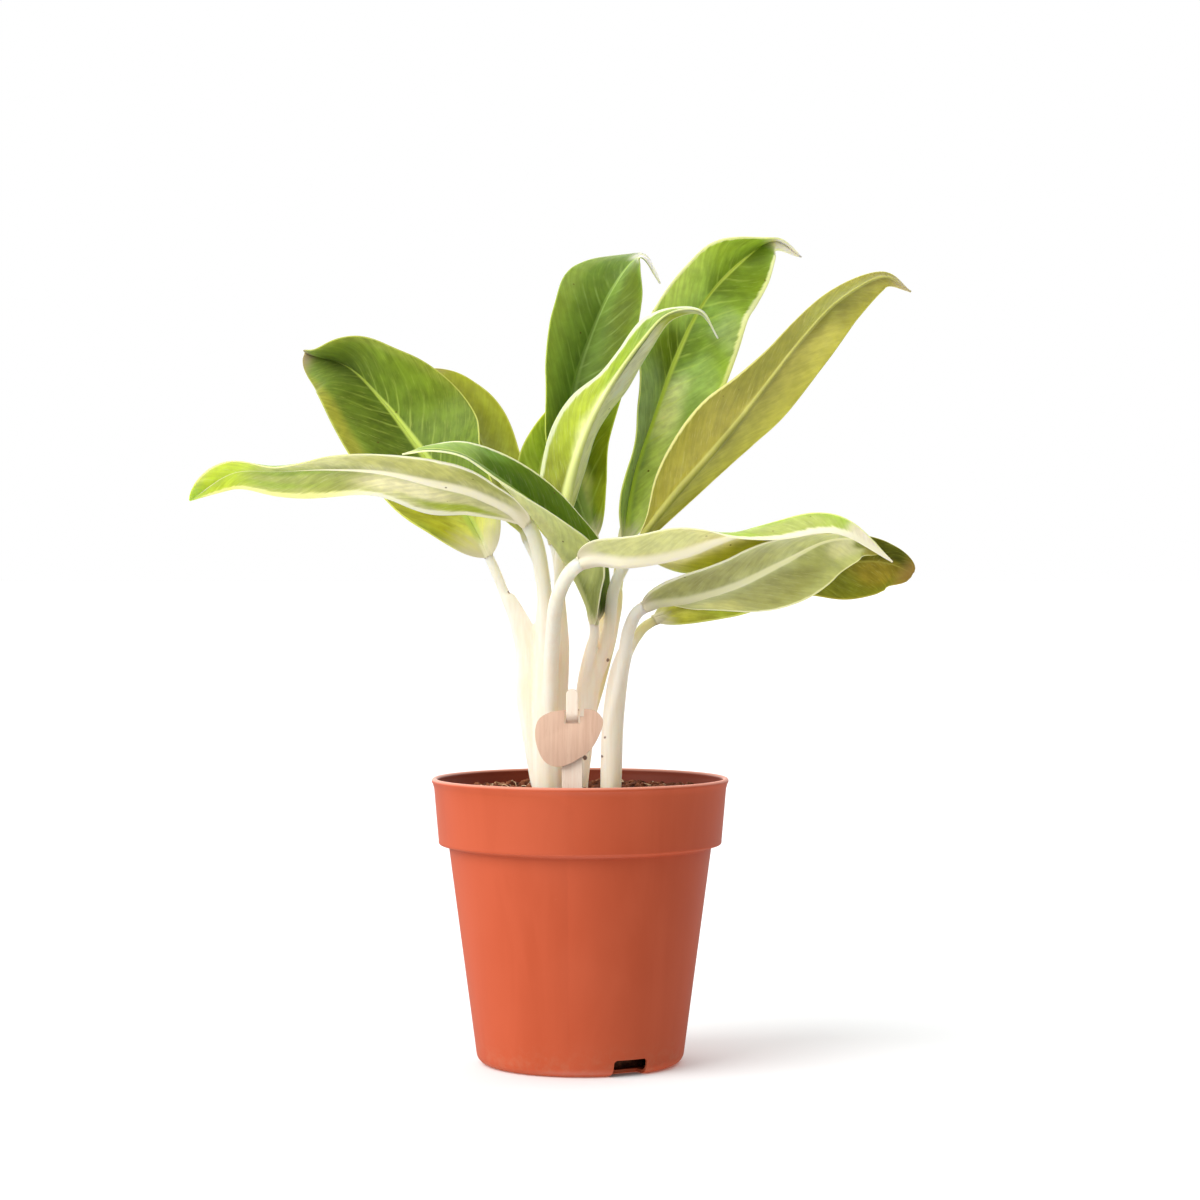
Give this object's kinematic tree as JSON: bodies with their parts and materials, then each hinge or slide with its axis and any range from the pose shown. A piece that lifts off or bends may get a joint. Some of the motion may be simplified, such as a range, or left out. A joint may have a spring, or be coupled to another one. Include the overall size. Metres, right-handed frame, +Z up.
{
  "type": "potted variegated foliage plant",
  "caption": "Clump of pale shoots with long pointed green and cream leaves, growing in soil in a moulded terracotta-coloured plastic nursery pot, with a plain wooden plant label.",
  "frame": {"origin": "centre of the flat middle of the pot's underside, on the surface that the pot stands on", "axes": "+Z up, along the pot's axis; -Y is the plant's front, the side with the label; +X is to the right seen from the front"},
  "size_m": [0.2911, 0.1219, 0.3367],
  "materials": {
    "pot_plastic": "satin moulded plastic, terracotta colour",
    "potting_mix": "rough, crumbly, dark brown",
    "label_wood": "bare, smooth, light",
    "stem": "fleshy, smooth, cream",
    "leaf": "waxy, satin, green with cream margins and veins"
  },
  "bodies": {
    "root": {"pot": "pot_plastic", "soil": "potting_mix", "label_disc": "label_wood", "label_stake": "label_wood", "stem_left": "stem", "stem_middle": "stem", "stem_right": "stem", "leaf_upper_left": "leaf", "leaf_back_left": "leaf", "leaf_back_centre": "leaf", "leaf_far_left": "leaf", "leaf_front_left": "leaf", "leaf_tall": "leaf", "leaf_folded": "leaf", "leaf_upper_right": "leaf", "leaf_olive_right": "leaf", "leaf_long_right": "leaf", "leaf_low_right": "leaf", "leaf_back_right": "leaf"}
  },
  "joints": []
}
